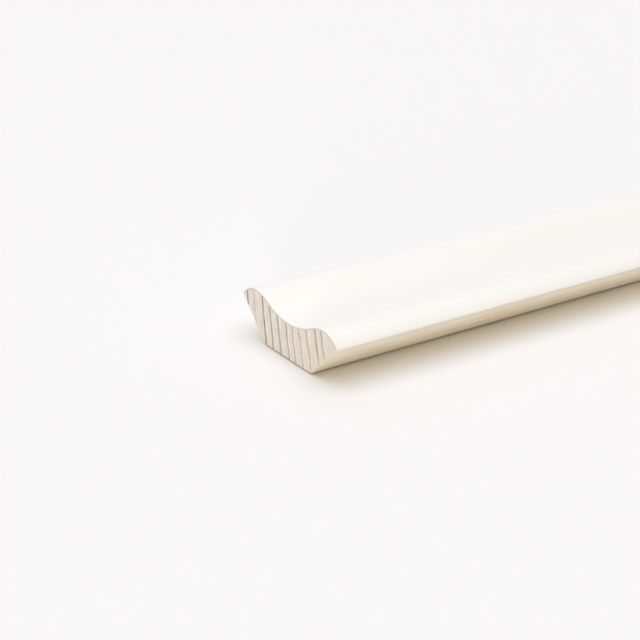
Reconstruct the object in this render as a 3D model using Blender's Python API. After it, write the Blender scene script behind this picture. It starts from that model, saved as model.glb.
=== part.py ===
"""Corner moulding: one straight length of pine stock, machined to a coved section and lying on its back.

The section is one closed outline, drawn across the grain and run out to the stock length along X.
Y goes across the moulding and Z goes up from the floor, with the origin under the middle of the back.
From the back to the middle of the face, each half of the outline goes through the bearing face, the
arris, the crest round and the cove.
"""
import math

import bpy

# Stock, in metres
LENGTH = 2.400
WIDTH = 0.045

# Bearing faces, which lean outwards from the back and sit against the two surfaces of a corner
BEARING_ANGLE = math.radians(45)
ARRIS_HEIGHT = 0.0115
ARRIS_RADIUS = 0.0006

# Moulded face: a crest inside each arris, and a cove between the crests
CREST_INSET = 0.0062
CREST_RISE = 0.0033
CREST_RUN = 0.0060
COVE_DEPTH = 0.0041

# Furthest that a chord may lie from the arc that it stands for
CHORD_ERROR = 0.000005

# White satin paint, as it looks over the whole moulding
PAINT_COLOUR = (0.92, 0.91, 0.88, 1.0)
PAINT_ROUGHNESS = 0.45


def remove_all_objects():
    for item in list(bpy.data.objects):
        bpy.data.objects.remove(item, do_unlink=True)


def arc(centre, radius, start, end):
    """Return points on a circle from one angle to another, both ends included."""
    step = 2 * math.acos(1 - CHORD_ERROR / radius)
    count = math.ceil(abs(end - start) / step)
    angles = [start + (end - start) * i / count for i in range(count + 1)]
    return [(centre[0] + radius * math.cos(a), centre[1] + radius * math.sin(a)) for a in angles]


def edge_outline():
    """Return the points of the bearing face, the eased arris and the outside of the crest.

    The arris is an arc whose outermost point sets the width of the moulding. The bearing face touches
    that arc and runs straight down to the back. The crest round touches it from outside, and its
    radius is the one that brings it level at the crest.
    """
    arris_y = ARRIS_RADIUS - WIDTH / 2
    face_end_y = arris_y - ARRIS_RADIUS * math.sin(BEARING_ANGLE)
    face_end_z = ARRIS_HEIGHT - ARRIS_RADIUS * math.cos(BEARING_ANGLE)
    back_corner = (face_end_y + face_end_z / math.tan(BEARING_ANGLE), 0.0)

    reach = CREST_INSET - ARRIS_RADIUS
    radius = (reach**2 + CREST_RISE**2 - ARRIS_RADIUS**2) / (2 * (CREST_RISE - ARRIS_RADIUS))
    centre = (CREST_INSET - WIDTH / 2, ARRIS_HEIGHT + CREST_RISE - radius)
    meeting = math.atan2(ARRIS_HEIGHT - centre[1], -reach)

    face_angle = 1.5 * math.pi - BEARING_ANGLE
    arris = arc((arris_y, ARRIS_HEIGHT), ARRIS_RADIUS, face_angle, meeting)
    crest = arc(centre, radius, meeting, math.pi / 2)
    return [back_corner] + arris + crest[1:]


def cove_outline():
    """Return the points of the reverse curve from just past the crest to the middle of the cove.

    The inside of the crest and the cove are two arcs, level at the crest and at the bottom of the
    cove. They turn through the same angle, so they meet without a corner.
    """
    run = WIDTH / 2 - CREST_INSET
    turn = 2 * math.atan(COVE_DEPTH / run)
    crest_radius = CREST_RUN / math.sin(turn)
    cove_radius = (run - CREST_RUN) / math.sin(turn)

    crest_z = ARRIS_HEIGHT + CREST_RISE
    crest_centre = (-run, crest_z - crest_radius)
    cove_centre = (0.0, crest_z - COVE_DEPTH + cove_radius)
    crest = arc(crest_centre, crest_radius, math.pi / 2, math.pi / 2 - turn)
    cove = arc(cove_centre, cove_radius, -math.pi / 2 - turn, -math.pi / 2)
    return crest[1:] + cove[1:]


def section_outline():
    """Return the closed section, whose second half mirrors the first about the middle of the cove."""
    half = edge_outline() + cove_outline()
    other_half = [(-y, z) for y, z in reversed(half[:-1])]
    return half + other_half


def painted_pine():
    material = bpy.data.materials.new("painted_pine")
    material.use_nodes = True
    shader = material.node_tree.nodes["Principled BSDF"]
    shader.inputs["Base Color"].default_value = PAINT_COLOUR
    shader.inputs["Roughness"].default_value = PAINT_ROUGHNESS
    shader.inputs["Metallic"].default_value = 0.0
    return material


def corner_moulding(collection):
    """Run the section out to the stock length, with its middle over the origin."""
    curve = bpy.data.curves.new("corner_moulding", "CURVE")
    curve.dimensions = "2D"
    curve.fill_mode = "BOTH"
    curve.extrude = LENGTH / 2
    curve.materials.append(painted_pine())

    outline = section_outline()
    spline = curve.splines.new("POLY")
    spline.points.add(len(outline) - 1)
    for point, (y, z) in zip(spline.points, outline):
        point.co = (y, z, 0.0, 1.0)
    spline.use_cyclic_u = True

    moulding = bpy.data.objects.new("corner_moulding", curve)
    # The curve's own X, Y and Z become the moulding's Y, Z and X
    moulding.rotation_euler = (math.pi / 2, 0.0, math.pi / 2)
    collection.objects.link(moulding)
    return moulding


remove_all_objects()
parts = bpy.data.collections.new("sprung_corner_moulding")
bpy.context.scene.collection.children.link(parts)
corner_moulding(parts)
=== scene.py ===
"""Looks of the corner moulding: white satin paint on a coved face, bare pine on its back and cut ends."""
import math

import bpy
from mathutils import Matrix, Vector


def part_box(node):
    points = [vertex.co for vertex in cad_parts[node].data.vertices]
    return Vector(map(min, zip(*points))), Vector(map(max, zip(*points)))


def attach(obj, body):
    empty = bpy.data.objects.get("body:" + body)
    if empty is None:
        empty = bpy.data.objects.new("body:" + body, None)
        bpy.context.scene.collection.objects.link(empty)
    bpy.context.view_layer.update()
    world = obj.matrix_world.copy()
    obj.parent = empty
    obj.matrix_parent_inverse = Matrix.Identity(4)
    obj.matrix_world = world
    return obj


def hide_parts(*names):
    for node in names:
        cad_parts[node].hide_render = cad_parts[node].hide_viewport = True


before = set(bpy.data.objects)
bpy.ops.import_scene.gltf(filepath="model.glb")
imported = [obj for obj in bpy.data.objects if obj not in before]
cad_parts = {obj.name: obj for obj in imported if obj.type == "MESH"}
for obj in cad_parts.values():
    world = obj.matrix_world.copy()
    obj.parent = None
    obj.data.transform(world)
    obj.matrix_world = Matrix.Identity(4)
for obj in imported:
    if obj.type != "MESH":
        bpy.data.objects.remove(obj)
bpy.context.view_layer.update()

NODE = "corner_moulding"
low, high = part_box(NODE)

# Size of the stock, in metres, as the frame gives it
HALF_LENGTH = high.x
HALF_WIDTH = (high.y - low.y) / 2
CREST_Z = high.z

# Section of the stock, in metres: the bearing face, the eased arris, the crest and the cove
BEARING_ANGLE = math.radians(45)
ARRIS_HEIGHT = 0.0115
ARRIS_RADIUS = 0.0006
CREST_INSET = 0.0062
CREST_RUN = 0.0060
COVE_DEPTH = 0.0041

# Places in the front half of the section, across and up: the centre that the arris turns round, and the
# top of the bearing face, where the arris takes over. Below it the face meets the back at its corner.
ARRIS = (ARRIS_RADIUS - HALF_WIDTH, ARRIS_HEIGHT)
FACE_TOP = (
    ARRIS[0] - ARRIS_RADIUS * math.sin(BEARING_ANGLE),
    ARRIS[1] - ARRIS_RADIUS * math.cos(BEARING_ANGLE),
)
BACK_CORNER = FACE_TOP[0] + FACE_TOP[1] / math.tan(BEARING_ANGLE)

# Sharp edges, in metres, lose just enough to catch the light
BACK_CORNER_ROUND = 0.0002
SAWN_EDGE_ROUND = 0.00012
EASING_STEPS = 3

# Paint, in metres: how far it reaches under the middle of the arris, and how wide its film is drawn where
# the saw went through it, which is several times the 0.1 mm of a real one, so that it shows
PAINT_PAST_ARRIS = 0.00015
PAINT_FILM = 0.0004

# Mesh: steps of the arcs and of the length, the edges in metres that are too short to keep on the rim of a
# sawn end, what counts as touching, and how squarely a sawn end looks along the moulding. Facets of an
# eased edge meet at 30 degrees and still look round.
DEGREES_PER_STEP = 3.0
LENGTH_CUTS = 23
SHORT_EDGE = 0.00025
TOUCHING = 0.00001
SQUARELY = 0.999
ROUND_UP_TO = math.radians(31)

# Floor, in metres
FLOOR_SIZE = 60.0
FLOOR_GAP = 0.0005

# Growth rings on the near end: how far each is from the middle of the section at half thickness, towards
# the viewer, in millimetres, and how dark its line is
RINGS = (
    (-19.6, 1.00), (-16.15, 0.30), (-11.9, 1.00), (-8.4, 0.85), (-4.7, 0.80), (-0.65, 0.70),
    (2.2, 0.60), (5.7, 0.50), (9.45, 0.52), (14.0, 1.00), (16.8, 0.55),
)

# Rings are counted this far to either side of the middle. Before the first one they go on at their usual
# spacing, and after the last one the next is so far off that it lies outside the section.
RING_REACH_MM = 26.0
RING_SPACING_MM = 3.7
NEXT_RING_MM = 7.4

# How far a ring leans across for each millimetre up, and how much more for each millimetre that it lies
# nearer to the viewer
RING_LEAN = 0.24
RING_FAN = 0.004

# How far the rings waver and drift from one side to the other in all, and how far along they drift in full
WAVER_MM = 0.9
DRIFT_MM = 9.0
FULL_DRIFT_AT_MM = 400.0
NOISE_MIDDLE = 0.5

# Sizes of the section in the unit of the patterns
MM_IN_METRE = 1000.0
HALF_THICKNESS_MM = MM_IN_METRE * CREST_Z / 2
HALF_BACK_MM = MM_IN_METRE * abs(BACK_CORNER)

# How far in from the front bearing face, measured level, the cut wood is drawn yellower
YELLOWER_TO_MM = 3.5

# Haze of paint on the bearing face: how high up it is thickest, how far down from there it thins out, and
# how ragged it is
HAZE_TOP_MM = 11.2
HAZE_FADE_MM = 2.2
HAZE_RAGGED_MM = 0.8

# Light, as shares of the light that makes a colour render as written: each softbox has its share, its
# angles from the zenith and round from the front, and its spread
DAYLIGHT = "#E3EDFB"
REFLECTOR_COLOUR = "#FFFAF2"
FRONT_WALL = "#FFD68E"
BACK_WALL = "#FFFDF8"
ROOM_FRONT = 0.17
ROOM_BACK = 0.69
OVERHEAD = (0.653, 3, -36, 74)
LEFT = (0.065, 55, -90, 60)
FRONT = (0.27, 84, -43, 16)

# Camera, measured in the frame of the part: it looks down on the near end from the front left
CAMERA_PLACE = (-1.45397, -0.35873, 0.21012)
CAMERA_AZIMUTH = math.radians(-36.42)
CAMERA_PITCH = math.radians(24.27)
CAMERA_ROLL = math.radians(2.11)
CAMERA_LENS = 99.0
FARTHEST_IN_VIEW = 100.0


def srgb(code):
    """Turn an sRGB hex colour into the linear colour that a shader takes."""
    values = [int(code[i : i + 2], 16) / 255 for i in (1, 3, 5)]
    linear = [v / 12.92 if v <= 0.04045 else ((v + 0.055) / 1.055) ** 2.4 for v in values]
    return (*linear, 1.0)


def add(tree, kind, sockets=None, out=0, **settings):
    """Add a node with its settings, fill or link its input sockets, and return one of its outputs."""
    made = tree.nodes.new(kind)
    for name, value in settings.items():
        setattr(made, name, value)
    for key, value in (sockets or {}).items():
        if isinstance(value, bpy.types.NodeSocket):
            tree.links.new(value, made.inputs[key])
        else:
            made.inputs[key].default_value = value
    return made.outputs[out]


def layered(tree, ground, *tints):
    """Lay tints over a ground colour one after another, each with the share of it that shows."""
    colour = srgb(ground)
    for share, tint in tints:
        colour = add(tree, "ShaderNodeMix", {0: share, 6: colour, 7: srgb(tint)}, out=2, data_type="RGBA")
    return colour


def new_material(name):
    """Start a material, and return it with its node tree and its shader."""
    material = bpy.data.materials.new(name)
    material.use_nodes = True
    tree = material.node_tree
    return material, tree, tree.nodes["Principled BSDF"]


def place_in_mm(tree):
    """The place on the moulding, in millimetres along, across and up."""
    coordinates = add(tree, "ShaderNodeTexCoord", out="Object")
    return add(tree, "ShaderNodeVectorMath", {0: coordinates, "Scale": MM_IN_METRE}, operation="SCALE")


def stretched_noise(tree, place, size_mm, detail=2.0, roughness=0.5):
    """Noise whose features have the given size in millimetres along, across and up."""
    stretch = tuple(1.0 / s for s in size_mm)
    stretched = add(tree, "ShaderNodeVectorMath", {0: place, 1: stretch}, operation="MULTIPLY")
    sockets = {"Vector": stretched, "Scale": 1.0, "Detail": detail, "Roughness": roughness}
    return add(tree, "ShaderNodeTexNoise", sockets)


def grain_frame(tree, place):
    """The place in the wood's own frame: along the grain, across the growth rings and up along them.

    Each ring is a nearly flat sheet that leans across the section, a little more on the viewer's side. Near
    the near end the sheets run straight, and farther off they drift slowly from side to side.
    """
    # Across is counted towards the viewer here, as the rings are
    along, across, up = add(tree, "ShaderNodeSeparateXYZ", {0: place}).node.outputs
    across = add(tree, "ShaderNodeMath", {0: across, 1: -1.0}, operation="MULTIPLY")
    height = add(tree, "ShaderNodeMath", {0: up, 1: HALF_THICKNESS_MM}, operation="SUBTRACT")
    lean = add(tree, "ShaderNodeMath", {0: across, 1: RING_FAN, 2: RING_LEAN}, operation="MULTIPLY_ADD")
    across = add(tree, "ShaderNodeMath", {0: height, 1: lean, 2: across}, operation="MULTIPLY_ADD")

    waver = stretched_noise(tree, place, size_mm=(160.0, 5.0, 5.0))
    waver = add(tree, "ShaderNodeMath", {0: waver, 1: NOISE_MIDDLE}, operation="SUBTRACT")
    across = add(tree, "ShaderNodeMath", {0: waver, 1: WAVER_MM, 2: across}, operation="MULTIPLY_ADD")
    drift = stretched_noise(tree, place, size_mm=(420.0, 90.0, 90.0), detail=1.0)
    drift = add(tree, "ShaderNodeMath", {0: drift, 1: NOISE_MIDDLE}, operation="SUBTRACT")
    near_end = -MM_IN_METRE * HALF_LENGTH
    drift_here = add(
        tree, "ShaderNodeMapRange",
        {"Value": along, "From Min": near_end, "From Max": near_end + FULL_DRIFT_AT_MM, "To Max": DRIFT_MM},
    )
    across = add(tree, "ShaderNodeMath", {0: drift, 1: drift_here, 2: across}, operation="MULTIPLY_ADD")
    return add(tree, "ShaderNodeCombineXYZ", {0: along, 1: across, 2: height}), across


def ring_number(tree, across):
    """Count the growth rings across the wood, and return the count and how dark the nearest ring is."""
    share = add(
        tree, "ShaderNodeMapRange", {"Value": across, "From Min": -RING_REACH_MM, "From Max": RING_REACH_MM}
    )
    places = [(ring + RING_REACH_MM) / (2 * RING_REACH_MM) for ring, _ in RINGS]

    # The curve climbs by one step from each ring to the next
    number = add(tree, "ShaderNodeFloatCurve", {"Value": share})
    curve = number.node.mapping.curves[0]
    count = len(RINGS) + 1
    before_first = (RINGS[0][0] + RING_REACH_MM) / RING_SPACING_MM
    after_last = (RING_REACH_MM - RINGS[-1][0]) / NEXT_RING_MM
    curve.points[0].location = (0.0, (1 - before_first) / count)
    curve.points[1].location = (1.0, (len(RINGS) + after_last) / count)
    for i, place in enumerate(places, start=1):
        curve.points.new(place, i / count)
    for point in curve.points:
        point.handle_type = "VECTOR"
    number.node.mapping.use_clip = False
    number.node.mapping.update()
    number = add(tree, "ShaderNodeMath", {0: number, 1: float(count)}, operation="MULTIPLY")

    # Beyond the listed rings a line is of middling darkness
    darkness = add(tree, "ShaderNodeValToRGB", {0: share})
    ramp = darkness.node.color_ramp
    for place, (_, dark) in zip(places, RINGS):
        ramp.elements.new(place).color = (dark, dark, dark, 1.0)
    for stop in (ramp.elements[0], ramp.elements[-1]):
        stop.color = (0.5, 0.5, 0.5, 1.0)
    return number, darkness


def sawn_end_grain():
    """Pine cut across the grain by a saw: matt and pinkish beige, with thin grey-brown rings and pores."""
    material, tree, shader = new_material("sawn_pine_end_grain")
    place = place_in_mm(tree)
    grain, across = grain_frame(tree, place)
    number, darkness = ring_number(tree, across)

    # From one ring to the next the early wood starts pale and slowly darkens towards the late wood
    season = add(tree, "ShaderNodeMath", {0: number}, operation="FRACT")

    # Streaks run up along the rings. Real pores are too fine to show, so they are drawn about 0.5 mm wide.
    streaks = stretched_noise(tree, grain, size_mm=(1.0, 0.6, 5.0), detail=4.0, roughness=0.6)
    streaked = add(
        tree, "ShaderNodeMapRange", {"Value": streaks, "From Min": 0.38, "From Max": 0.66, "To Max": 0.65},
        interpolation_type="SMOOTHSTEP",
    )
    pores = stretched_noise(tree, grain, size_mm=(1.0, 0.35, 0.6))
    pores = add(
        tree, "ShaderNodeMapRange", {"Value": pores, "From Min": 0.5, "From Max": 0.72, "To Max": 0.6},
        interpolation_type="SMOOTHSTEP",
    )

    # Late wood is a line about 0.5 mm wide along each whole number, broken here and there
    off_ring = add(tree, "ShaderNodeMath", {0: number, 1: 0.5}, operation="PINGPONG")
    line = add(
        tree, "ShaderNodeMapRange",
        {"Value": off_ring, "From Min": 0.03, "From Max": 0.12, "To Min": 1.0, "To Max": 0.0},
        interpolation_type="SMOOTHSTEP",
    )
    unbroken = stretched_noise(tree, grain, size_mm=(1.0, 1.2, 3.5), detail=3.0)
    unbroken = add(
        tree, "ShaderNodeMapRange", {"Value": unbroken, "From Min": 0.3, "From Max": 0.6, "To Min": 0.6},
        interpolation_type="SMOOTHSTEP",
    )
    line = add(tree, "ShaderNodeMath", {0: line, 1: unbroken}, operation="MULTIPLY")
    line = add(tree, "ShaderNodeMath", {0: line, 1: darkness}, operation="MULTIPLY")

    # The wood is drawn a little yellower next to the front bearing face
    _, across, up = add(tree, "ShaderNodeSeparateXYZ", {0: place}).node.outputs
    inwards = add(tree, "ShaderNodeMath", {0: up, 1: across}, operation="ADD")
    yellower_near_front = add(
        tree, "ShaderNodeMapRange",
        {
            "Value": inwards, "From Min": -HALF_BACK_MM, "From Max": YELLOWER_TO_MM - HALF_BACK_MM,
            "To Min": 0.7, "To Max": 0.0,
        },
        interpolation_type="SMOOTHSTEP",
    )
    wood = layered(
        tree, "#FAF5EC", (season, "#F0EAE0"), (streaked, "#DCD0C1"), (pores, "#CBBCAA"), (line, "#8B755F"),
        (yellower_near_front, "#EADFC4"),
    )
    tree.links.new(wood, shader.inputs["Base Color"])
    shader.inputs["Roughness"].default_value = 0.85
    shader.inputs["IOR"].default_value = 1.5

    relief = add(tree, "ShaderNodeMath", {0: streaks, 1: pores}, operation="SUBTRACT")
    bump = add(tree, "ShaderNodeBump", {"Strength": 0.4, "Distance": 0.0001, "Height": relief})
    tree.links.new(bump, shader.inputs["Normal"])
    return material


def planed_pine():
    """Pine planed along the grain and left bare: silky and cream, with faint lengthwise ring lines.

    Just under the arris the sprayed paint has drifted onto it as a thin greyish haze.
    """
    material, tree, shader = new_material("planed_bare_pine")
    place = place_in_mm(tree)
    grain, across = grain_frame(tree, place)
    number, _ = ring_number(tree, across)

    # Real fibres are too fine to show, so bundles of them are drawn, 0.6 mm wide
    fibres = stretched_noise(tree, grain, size_mm=(25.0, 0.6, 0.6), detail=4.0, roughness=0.6)
    clouds = stretched_noise(tree, grain, size_mm=(12.0, 2.2, 2.2), detail=3.0)
    clouds = add(
        tree, "ShaderNodeMapRange", {"Value": clouds, "From Min": 0.38, "From Max": 0.62, "To Max": 0.8},
        interpolation_type="SMOOTHSTEP",
    )
    off_ring = add(tree, "ShaderNodeMath", {0: number, 1: 0.5}, operation="PINGPONG")
    late_wood = add(
        tree, "ShaderNodeMapRange", {"Value": off_ring, "From Max": 0.25, "To Min": 0.2, "To Max": 0.0},
        interpolation_type="SMOOTHSTEP",
    )

    # The haze has a ragged lower line
    up = add(tree, "ShaderNodeSeparateXYZ", {0: place}, out="Z")
    ragged = stretched_noise(tree, place, size_mm=(6.0, 0.6, 0.6), detail=3.0)
    haze_line = add(tree, "ShaderNodeMath", {0: ragged, 1: HAZE_RAGGED_MM, 2: up}, operation="MULTIPLY_ADD")
    haze = add(
        tree, "ShaderNodeMapRange",
        {
            "Value": haze_line, "From Min": HAZE_TOP_MM - HAZE_FADE_MM, "From Max": HAZE_TOP_MM,
            "To Max": 0.85,
        },
        interpolation_type="SMOOTHSTEP",
    )
    wood = layered(
        tree, "#F6F0DA", (fibres, "#EEE5CA"), (clouds, "#EDE0CB"), (late_wood, "#D2BF9B"), (haze, "#E7E2D7")
    )
    tree.links.new(wood, shader.inputs["Base Color"])
    shader.inputs["Roughness"].default_value = 0.6
    shader.inputs["IOR"].default_value = 1.5
    bump = add(tree, "ShaderNodeBump", {"Strength": 0.4, "Distance": 0.00005, "Height": fibres})
    tree.links.new(bump, shader.inputs["Normal"])
    return material


def satin_paint():
    """Sprayed water-based satin paint over primer: warm white, low sheen, the grain just showing."""
    material, tree, shader = new_material("warm_white_satin_paint")
    place = place_in_mm(tree)
    tone = stretched_noise(tree, place, size_mm=(60.0, 12.0, 12.0))
    tree.links.new(layered(tree, "#FDFCF8", (tone, "#FCFBF7")), shader.inputs["Base Color"])
    sheen = stretched_noise(tree, place, size_mm=(8.0, 2.0, 2.0))
    sheen = add(
        tree, "ShaderNodeMapRange", {"Value": sheen, "To Min": 0.45, "To Max": 0.55},
        interpolation_type="SMOOTHSTEP",
    )
    tree.links.new(sheen, shader.inputs["Roughness"])
    shader.inputs["IOR"].default_value = 1.5
    grain = stretched_noise(tree, place, size_mm=(50.0, 0.8, 0.8), detail=3.0)
    peel = stretched_noise(tree, place, size_mm=(1.5, 1.5, 1.5), detail=1.0)
    relief = add(tree, "ShaderNodeMath", {0: grain, 1: peel}, operation="ADD")
    bump = add(tree, "ShaderNodeBump", {"Strength": 0.3, "Distance": 0.00003, "Height": relief})
    tree.links.new(bump, shader.inputs["Normal"])
    return material


def cut_paint_edge():
    """The paint film where the saw went through it: a thin line of grey-green primer and torn paint."""
    material, tree, shader = new_material("sawn_paint_film")
    torn = stretched_noise(tree, place_in_mm(tree), size_mm=(1.0, 1.5, 1.5), detail=3.0)
    tree.links.new(layered(tree, "#D4D1C8", (torn, "#E3DDD3")), shader.inputs["Base Color"])
    shader.inputs["Roughness"].default_value = 0.7
    return material


def select_faces(mesh, wanted):
    """Select in edit mode only the faces that the test wants."""
    bpy.ops.mesh.select_mode(type="FACE")
    bpy.ops.mesh.select_all(action="DESELECT")
    bpy.ops.object.mode_set(mode="OBJECT")
    for face in mesh.polygons:
        face.select = wanted(face)
    bpy.ops.object.mode_set(mode="EDIT")


def select_edges(mesh, wanted):
    """Select in edit mode only the edges whose two ends the test wants."""
    bpy.ops.mesh.select_mode(type="EDGE")
    bpy.ops.mesh.select_all(action="DESELECT")
    bpy.ops.object.mode_set(mode="OBJECT")
    for edge in mesh.edges:
        ends = [mesh.vertices[i].co for i in edge.vertices]
        edge.select = wanted(*ends)
    bpy.ops.object.mode_set(mode="EDIT")


def spin_arc(centre, degrees):
    """Carry the selected vertex round a centre in the section, clockwise as the far end sees it."""
    steps = math.ceil(abs(degrees) / DEGREES_PER_STEP)
    bpy.ops.mesh.spin(
        steps=steps, angle=math.radians(degrees), center=(-HALF_LENGTH, *centre), axis=(1.0, 0.0, 0.0)
    )


def draw_half_section():
    """Draw the front half of the section at the near end: back, bearing face, arris, crest, cove."""
    bpy.ops.mesh.extrude_region_move(TRANSFORM_OT_translate={"value": (0.0, BACK_CORNER, 0.0)})
    up_the_face = (0.0, FACE_TOP[0] - BACK_CORNER, FACE_TOP[1])
    bpy.ops.mesh.extrude_region_move(TRANSFORM_OT_translate={"value": up_the_face})

    # The crest round touches the arris from outside and is level at the crest
    reach = CREST_INSET - ARRIS_RADIUS
    rise = CREST_Z - ARRIS_HEIGHT
    crest_radius = (reach**2 + rise**2 - ARRIS_RADIUS**2) / (2 * (rise - ARRIS_RADIUS))
    crest = (CREST_INSET - HALF_WIDTH, CREST_Z - crest_radius)
    meeting = math.degrees(math.atan2(ARRIS_HEIGHT - crest[1], -reach))
    spin_arc(ARRIS, 270 - math.degrees(BEARING_ANGLE) - meeting)
    spin_arc(crest, meeting - 90)

    # The inside of the crest and the cove turn through the same angle, so they meet without a corner
    run = HALF_WIDTH - CREST_INSET
    turn = 2 * math.atan(COVE_DEPTH / run)
    inner_radius = CREST_RUN / math.sin(turn)
    cove_radius = (run - CREST_RUN) / math.sin(turn)
    spin_arc((-run, CREST_Z - inner_radius), math.degrees(turn))
    spin_arc((0.0, CREST_Z - COVE_DEPTH + cove_radius), -math.degrees(turn))


def run_out_front_half(mesh):
    """Turn the plane into the front half of the moulding, drawn at the near end and run out along X."""
    # The plane closes up to one vertex, which starts the section under the middle of the back
    bpy.ops.object.mode_set(mode="EDIT")
    bpy.ops.mesh.merge(type="CENTER")
    bpy.ops.transform.translate(value=(-HALF_LENGTH, 0.0, 0.0))
    draw_half_section()
    bpy.ops.mesh.select_all(action="SELECT")
    bpy.ops.mesh.extrude_region_move(TRANSFORM_OT_translate={"value": (2 * HALF_LENGTH, 0.0, 0.0)})
    select_edges(mesh, lambda a, b: abs(a.x - b.x) > HALF_LENGTH)
    bpy.ops.mesh.subdivide(number_cuts=LENGTH_CUTS)
    bpy.ops.object.mode_set(mode="OBJECT")


def mirror_to_rear(piece):
    """Add the rear half, which is the front one mirrored."""
    mirror = piece.modifiers.new("other half", "MIRROR")
    mirror.use_axis = (False, True, False)
    mirror.merge_threshold = TOUCHING
    bpy.ops.object.modifier_apply(modifier=mirror.name)


def close_ends(mesh):
    """Close both sawn ends, and turn every face outwards."""
    for end in (-HALF_LENGTH, HALF_LENGTH):
        select_edges(mesh, lambda a, b: max(abs(a.x - end), abs(b.x - end)) < TOUCHING)
        bpy.ops.mesh.edge_face_add()
    bpy.ops.mesh.select_all(action="SELECT")
    bpy.ops.mesh.normals_make_consistent(inside=False)


def on_back_corner(a, b):
    """Whether an edge runs along one of the corners of the back."""
    at_corner = max(a.z, b.z) < TOUCHING and min(abs(a.y), abs(b.y)) > abs(BACK_CORNER) - TOUCHING
    return at_corner and abs(a.x - b.x) > TOUCHING


def on_sawn_end(a, b):
    """Whether an edge lies on a sawn end. The length is cut into steps, so no edge joins the two ends."""
    return min(abs(a.x), abs(b.x)) > HALF_LENGTH - TOUCHING


def inside_rim_corner(a, b):
    """Whether an edge is a short one on the inside of a rim, round an arris or a corner of the back."""
    clearance = min(a.z, b.z, HALF_WIDTH - abs(a.y), HALF_WIDTH - abs(b.y))
    return on_sawn_end(a, b) and clearance > PAINT_FILM and (a - b).length < SHORT_EDGE


def ease_edges(mesh):
    """Take the sharpness off the planed corners of the back and off the sawn ends."""
    select_edges(mesh, on_back_corner)
    bpy.ops.mesh.bevel(offset=BACK_CORNER_ROUND, offset_type="WIDTH", segments=EASING_STEPS)
    select_edges(mesh, on_sawn_end)
    bpy.ops.mesh.bevel(offset=SAWN_EDGE_ROUND, segments=EASING_STEPS)


def mark_out_rims(mesh):
    """Run a rim as wide as the paint film round each sawn end, with sharp corners on its inner line."""
    select_faces(mesh, lambda face: abs(face.normal.x) > SQUARELY)
    bpy.ops.mesh.inset(thickness=PAINT_FILM)
    select_edges(mesh, inside_rim_corner)
    bpy.ops.mesh.merge(type="COLLAPSE")


def on_painted_side(face):
    """Whether a face belongs to the moulded side: in the cove, or above where the paint ends."""
    in_cove = abs(face.center.y) < HALF_WIDTH / 2 and face.center.z > ARRIS_HEIGHT / 2
    return in_cove or face.center.z > ARRIS_HEIGHT - PAINT_PAST_ARRIS


def give_finishes(mesh):
    """Paint the moulded side, leave the rest bare, and show the cut paint round the sawn wood."""
    for make in (satin_paint, planed_pine, sawn_end_grain, cut_paint_edge):
        mesh.materials.append(make())
    paint, planed, sawn, paint_edge = range(len(mesh.materials))
    for face in mesh.polygons:
        painted = on_painted_side(face)
        if abs(face.normal.x) > SQUARELY:
            # The faces of the rim have three or four sides, and the wood inside it is one face with many
            on_rim = len(face.vertices) <= 4
            face.material_index = paint_edge if on_rim and painted else sawn
        else:
            face.material_index = paint if painted else planed


def moulding():
    """The moulding as it comes off the machine: one section run out to its length and sawn square."""
    bpy.ops.object.select_all(action="DESELECT")
    bpy.ops.mesh.primitive_plane_add(size=HALF_WIDTH)
    piece = bpy.context.active_object
    piece.name = "painted_corner_moulding"
    mesh = piece.data
    run_out_front_half(mesh)
    mirror_to_rear(piece)

    bpy.ops.object.mode_set(mode="EDIT")
    close_ends(mesh)
    ease_edges(mesh)
    mark_out_rims(mesh)
    bpy.ops.object.mode_set(mode="OBJECT")
    give_finishes(mesh)
    bpy.ops.object.shade_smooth_by_angle(angle=ROUND_UP_TO)

    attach(piece, "root")
    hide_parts(NODE)


def floor():
    """A pale matt table top, wide enough to fill every view.

    A long board is never quite flat, so its near end stands a hair off the table, over a thin dark line.
    """
    bpy.ops.object.select_all(action="DESELECT")
    bpy.ops.mesh.primitive_plane_add(size=FLOOR_SIZE, location=(0.0, 0.0, low.z - FLOOR_GAP))
    made = bpy.context.active_object
    made.name = "pale_floor"
    material, _, shader = new_material("pale_matt_laminate")
    shader.inputs["Base Color"].default_value = srgb("#FBFAFA")
    shader.inputs["Roughness"].default_value = 0.9
    made.data.materials.append(material)


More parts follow.
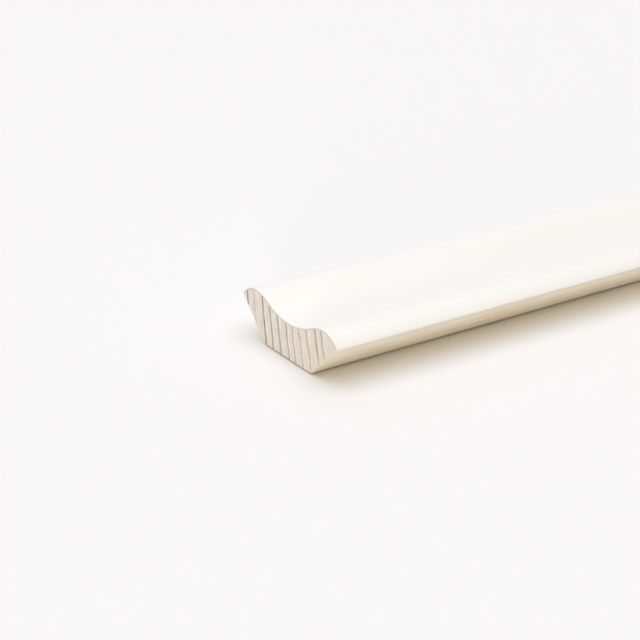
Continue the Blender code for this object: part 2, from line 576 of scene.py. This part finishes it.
def softbox(name, colour, light, from_zenith, azimuth, spread):
    """A far and wide lamp, as bright on a surface that faces it as the given share of full light."""
    bpy.ops.object.light_add(type="SUN", rotation=(math.radians(from_zenith), 0.0, math.radians(azimuth)))
    lamp = bpy.context.active_object
    lamp.name = name
    lamp.data.color = srgb(colour)[:3]
    lamp.data.energy = math.pi * light
    lamp.data.angle = math.radians(spread)


def studio_light():
    """A softbox overhead, another past the near end and a low reflector beside the camera, in a pale room.

    The room is brighter on the side away from the camera, and creamier on the camera's own side.
    """
    world = bpy.data.worlds.new("studio")
    bpy.context.scene.world = world
    world.use_nodes = True
    tree = world.node_tree
    direction = add(tree, "ShaderNodeTexCoord", out="Generated")
    back = (-math.sin(CAMERA_AZIMUTH), math.cos(CAMERA_AZIMUTH), 0.0)
    towards_back = add(
        tree, "ShaderNodeVectorMath", {0: direction, 1: back}, out="Value", operation="DOT_PRODUCT"
    )
    share_of_back = add(
        tree, "ShaderNodeMapRange", {"Value": towards_back, "From Min": -1.0},
        interpolation_type="SMOOTHSTEP",
    )
    strength = add(
        tree, "ShaderNodeMapRange",
        {"Value": towards_back, "From Min": -1.0, "To Min": ROOM_FRONT, "To Max": ROOM_BACK},
        interpolation_type="SMOOTHSTEP",
    )
    background = tree.nodes["Background"]
    tree.links.new(layered(tree, FRONT_WALL, (share_of_back, BACK_WALL)), background.inputs["Color"])
    tree.links.new(strength, background.inputs["Strength"])
    softbox("overhead_softbox", DAYLIGHT, *OVERHEAD)
    softbox("left_softbox", DAYLIGHT, *LEFT)
    softbox("front_reflector", REFLECTOR_COLOUR, *FRONT)


def camera():
    """A long lens that looks down on the near end."""
    data = bpy.data.cameras.new("camera")
    data.lens = CAMERA_LENS
    data.clip_end = FARTHEST_IN_VIEW
    made = bpy.data.objects.new("camera", data)
    bpy.context.scene.collection.objects.link(made)
    turned = Matrix.Rotation(CAMERA_AZIMUTH, 4, "Z")
    tipped = Matrix.Rotation(math.pi / 2 - CAMERA_PITCH, 4, "X")
    rolled = Matrix.Rotation(CAMERA_ROLL, 4, "Z")
    made.matrix_world = Matrix.Translation(CAMERA_PLACE) @ turned @ tipped @ rolled
    bpy.context.scene.camera = made


moulding()
floor()
studio_light()
camera()
bpy.context.scene.view_settings.view_transform = "Standard"
